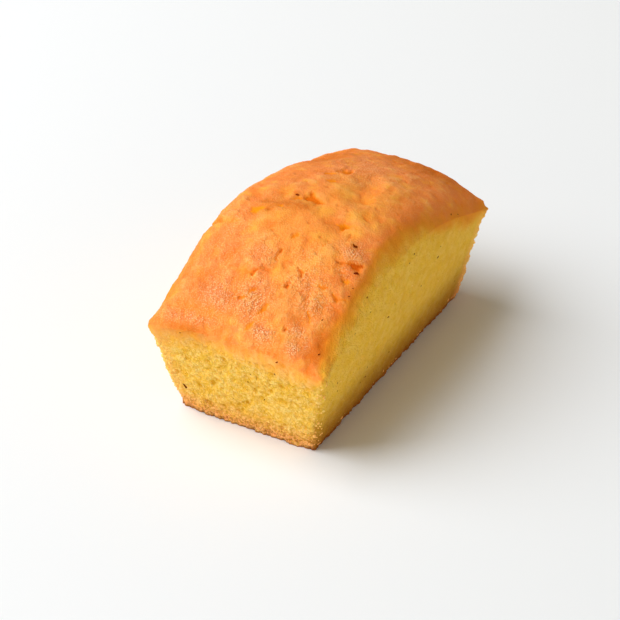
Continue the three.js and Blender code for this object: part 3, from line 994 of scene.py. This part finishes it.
rays = []  # start, direction, size and slimness
for x, y, wide in TOP_SPECKS:
    bits = CLUMP_BITS if wide > CLUMPED else 1
    for bit in range(bits):
        apart = Vector((chance.uniform(-1, 1), chance.uniform(-1, 1), 0))
        start = Vector((x, y, OUTSIDE)) + apart * CLUMP_SPREAD * wide * (bit > 0)
        bit_size = wide * (1 if bits == 1 else chance.uniform(*BIT_SIZES))
        rays.append((start, Vector((0, 0, -1)), bit_size, 1))
for y, z, wide in END_SPECKS:
    rays.append((Vector((-OUTSIDE, y, z)), Vector((1, 0, 0)), wide, 1))
for x, z, wide in SIDE_SPECKS:
    rays.append((Vector((x, -OUTSIDE, z)), Vector((0, 1, 0)), wide, 1))
y, z, wide = LONG_SPECK
rays.append((Vector((-OUTSIDE, y, z)), Vector((1, 0, 0)), wide, LONG_SPECK_SLIM))
print("specks that show:", len(rays))

# %% Specks on the far walls
UNSEEN_SPECKS = 44
UNSEEN_SIZES = (0.45, 0.5, 0.5, 0.6, 0.7, 0.9)  # mm
UNSEEN_UP = (5, 38)
FAR_WALL = (-43, 43)
FAR_END = (-20, 20)
FAR_END_EVERY = 4  # one speck in so many lies on the far end

for count in range(UNSEEN_SPECKS):
    wide = chance.choice(UNSEEN_SIZES)
    z = chance.uniform(*UNSEEN_UP)
    if count % FAR_END_EVERY:
        rays.append((Vector((chance.uniform(*FAR_WALL), OUTSIDE, z)), Vector((0, -1, 0)), wide, 1))
    else:
        rays.append((Vector((OUTSIDE, chance.uniform(*FAR_END), z)), Vector((-1, 0, 0)), wide, 1))
print("specks:", len(rays))

# %% Specks copied, sunk in and joined
SUNK = 0.12  # of a speck's size
SPECK_WIDTHS = (0.75, 1)
ROUND = 6.28  # radians in a full turn
SLIVER_TURN = math.radians(125)


def copy_to(piece, matrix):
    copy = piece.copy()
    copy.data = piece.data.copy()
    bpy.context.collection.objects.link(copy)
    copy.matrix_world = matrix
    return copy


def join(copies, name):
    bpy.ops.object.select_all(action="DESELECT")
    for copy in copies:
        copy.select_set(True)
    bpy.context.view_layer.objects.active = copies[0]
    bpy.ops.object.join()
    joined = bpy.context.object
    joined.name = name
    bpy.ops.object.transform_apply(location=True, rotation=True, scale=True)
    bpy.ops.object.shade_smooth()
    return joined


copies = []
for start, direction, wide, slim in rays:
    hit, spot, normal, face = loaf.ray_cast(start * MM, direction)
    if not hit:
        continue
    angle = chance.uniform(0, ROUND)
    if slim < 1:
        angle = SLIVER_TURN
    turn = normal.to_track_quat("Z", "Y").to_matrix() @ Matrix.Rotation(angle, 3, "Z")
    size_of = Matrix.Diagonal((wide, wide * slim * chance.uniform(*SPECK_WIDTHS), wide)) * MM
    sunk = Matrix.Translation(spot - normal * SUNK * wide * MM)
    copies.append(copy_to(speck, sunk @ (turn @ size_of).to_4x4()))
specks = join(copies, "specks")
bpy.data.objects.remove(speck)
print("speck faces in all:", len(specks.data.polygons))

# %% The specks' material
SPECK_DARK = srgb(106, 24, 0)
SPECK_BROWN = srgb(150, 62, 4)


def fine_bump():
    return add(tree, "ShaderNodeBump", {
        "Strength": 0.5, "Distance": 0.1 * MM, "Height": group(granules, Scale=4000, Blend=0.3),
    }).outputs["Normal"]


dark, tree, place = new_material("speck")
speck_colour = mix(group(mottle, Scale=1400, Low=0.45, High=0.75), SPECK_DARK, SPECK_BROWN)
dress(specks, dark, {
    "Base Color": speck_colour, "Roughness": 0.7, "Normal": fine_bump(),
    "Specular IOR Level": 0.0,
})
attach(specks, "root")
print("speck nodes:", len(tree.nodes))

# %% [markdown]
# ## Clinging crumbs
#
# Along the upright edges and the foot, where the tin held on, single crumbs cling to the cake. They
# break its outline and give the foot a sandy look. One crumb is an icosphere with its points pushed
# about. Its copies are scattered over two of the painted weights from before, with a few over the
# open crumb, sunk by a quarter of their size and joined. A particle system would scatter them too,
# but copies in a loop keep a fixed seed and can be left out one by one where they would touch the
# floor.

# %% One crumb
bpy.ops.object.select_all(action="DESELECT")
bpy.ops.mesh.primitive_ico_sphere_add(subdivisions=1, radius=0.5)
crumb = bpy.context.object
crumb.name = "crumb"
apply_modifier(
    crumb, "DISPLACE", texture=cloud("one crumb", 0.6), texture_coords="LOCAL", strength=0.5,
)
print("crumb faces:", len(crumb.data.polygons))

# %% Where crumbs are likely
ON_CLEAN_EDGE = 0.2
ON_TORN_EDGE = 0.7
ON_FOOT = 0.8
LONG_FOOT = 0.2  # a long wall's foot has this share of an end's
ON_OPEN_CRUMB = 0.004
MOST_CRUST = 0.1  # none cling where there is more crust

on_upright = np.where(near_edge, ON_CLEAN_EDGE, ON_TORN_EDGE) * upright
likely = np.maximum(on_upright, ON_FOOT * foot_edge * (LONG_FOOT + (1 - LONG_FOOT) * ends))
likely = (likely + ON_OPEN_CRUMB * open_crumb) * (crust < MOST_CRUST)
print("share of the skin that may hold crumbs:", round(float((likely > 0.1).mean()), 2))

# %% Crumbs scattered, sunk in and joined
CRUMBS = 1300
CRUMB_SIZES = (0.4, 0.5, 0.6, 0.7, 0.8, 0.95, 1.2)  # mm
CRUMB_STRETCH = (0.75, 1.15)
CRUMB_SUNK = 0.25  # of a crumb's size
CRUMB_CLEAR = 0.7  # of its size; any lower and it would reach the floor

skin_points = vectors_of(loaf, "co")
skin_normals = vectors_of(loaf, "normal")
copies = []
for index in chance.choices(range(len(points)), likely.tolist(), k=CRUMBS):
    wide = chance.choice(CRUMB_SIZES) * MM
    normal = Vector(skin_normals[index])
    spot = Vector(skin_points[index]) - normal * CRUMB_SUNK * wide
    if spot.z < CRUMB_CLEAR * wide:
        continue
    turn = Euler([chance.uniform(0, ROUND) for axis in range(3)]).to_matrix()
    stretched = Matrix.Diagonal([wide * chance.uniform(*CRUMB_STRETCH) for axis in range(3)])
    copies.append(copy_to(crumb, Matrix.Translation(spot) @ (turn @ stretched).to_4x4()))
crumbs = join(copies, "crumbs")
bpy.data.objects.remove(crumb)
print("crumbs:", len(copies), "faces:", len(crumbs.data.polygons))

# %% The crumbs' material
loose, tree, place = new_material("crumbs")
above_floor = add(tree, "ShaderNodeSeparateXYZ", {"Vector": place}).outputs["Z"]
loose_colour = mix(group(mottle, Scale=420, Low=0.35, High=0.6), CRUMB_TAN, CRUMB_LIGHT_AND_HIGHLIGHT)
loose_colour = mix(stretch(above_floor, 1 * MM, 9 * MM, 0.85, 0), loose_colour, FOOT_TAN)
dress(crumbs, loose, {
    "Base Color": loose_colour, "Roughness": 0.95, "Normal": fine_bump(),
    "Specular IOR Level": 0.25,
})
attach(crumbs, "root")
print("crumb material nodes:", len(tree.nodes))

# %% [markdown]
# ## Floor and light
#
# The cake stands on a plain white sweep. One large soft lamp at the left makes the shadow, and pale
# walls round the studio fill it. So the world is bright near the horizon and dim overhead: that lights
# the upright walls and leaves the shadow dark. The white floor throws light back up the walls, so the
# near end is almost as bright as the crust.

# %% Floor
FLOOR_SIZE = 8
PAPER = srgb(239, 241, 246)

bpy.ops.object.select_all(action="DESELECT")
bpy.ops.mesh.primitive_plane_add(size=FLOOR_SIZE)
floor = bpy.context.object
floor.name = "floor"
paper, tree, place = new_material("paper")
dress(floor, paper, {"Base Color": PAPER, "Roughness": 0.9, "Specular IOR Level": 0.1})
print("floor:", tuple(floor.dimensions))

# %% Light
KEY_FROM = Vector((-0.25, 0.59, 0.77)).normalized()
KEY_DISTANCE = 1.7
KEY_SIZE = 1.55
KEY_POWER = 37.5
KEY_COLOUR = (0.98, 0.99, 1)
STUDIO_COLOUR = (1, 0.945, 0.74, 1)
HORIZON_LIGHT = 1.5
OVERHEAD_LIGHT = 0.12
NEAR_AND_FAR = (1.8, 0.75)  # the wall before the near end is brighter than the one behind the cake

bpy.ops.object.light_add(type="AREA", location=KEY_FROM * KEY_DISTANCE)
key = bpy.context.object
key.name = "key"
key.rotation_euler = KEY_FROM.to_track_quat("Z", "Y").to_euler()
key.data.size = KEY_SIZE
key.data.energy = KEY_POWER
key.data.color = KEY_COLOUR
world = bpy.data.worlds.new("studio")
world.use_nodes = True
tree = world.node_tree
around = add(tree, "ShaderNodeTexCoord").outputs["Generated"]
around = add(tree, "ShaderNodeSeparateXYZ", {"Vector": around}).outputs
strength = stretch(around["Z"], 0, 0.5, HORIZON_LIGHT, OVERHEAD_LIGHT)
strength = product(strength, stretch(around["X"], -0.7, 0.7, *NEAR_AND_FAR))
tree.nodes["Background"].inputs["Color"].default_value = STUDIO_COLOUR
tree.links.new(strength, tree.nodes["Background"].inputs["Strength"])
bpy.context.scene.world = world
bpy.context.scene.view_settings.view_transform = "Standard"
print("key, W:", key.data.energy)
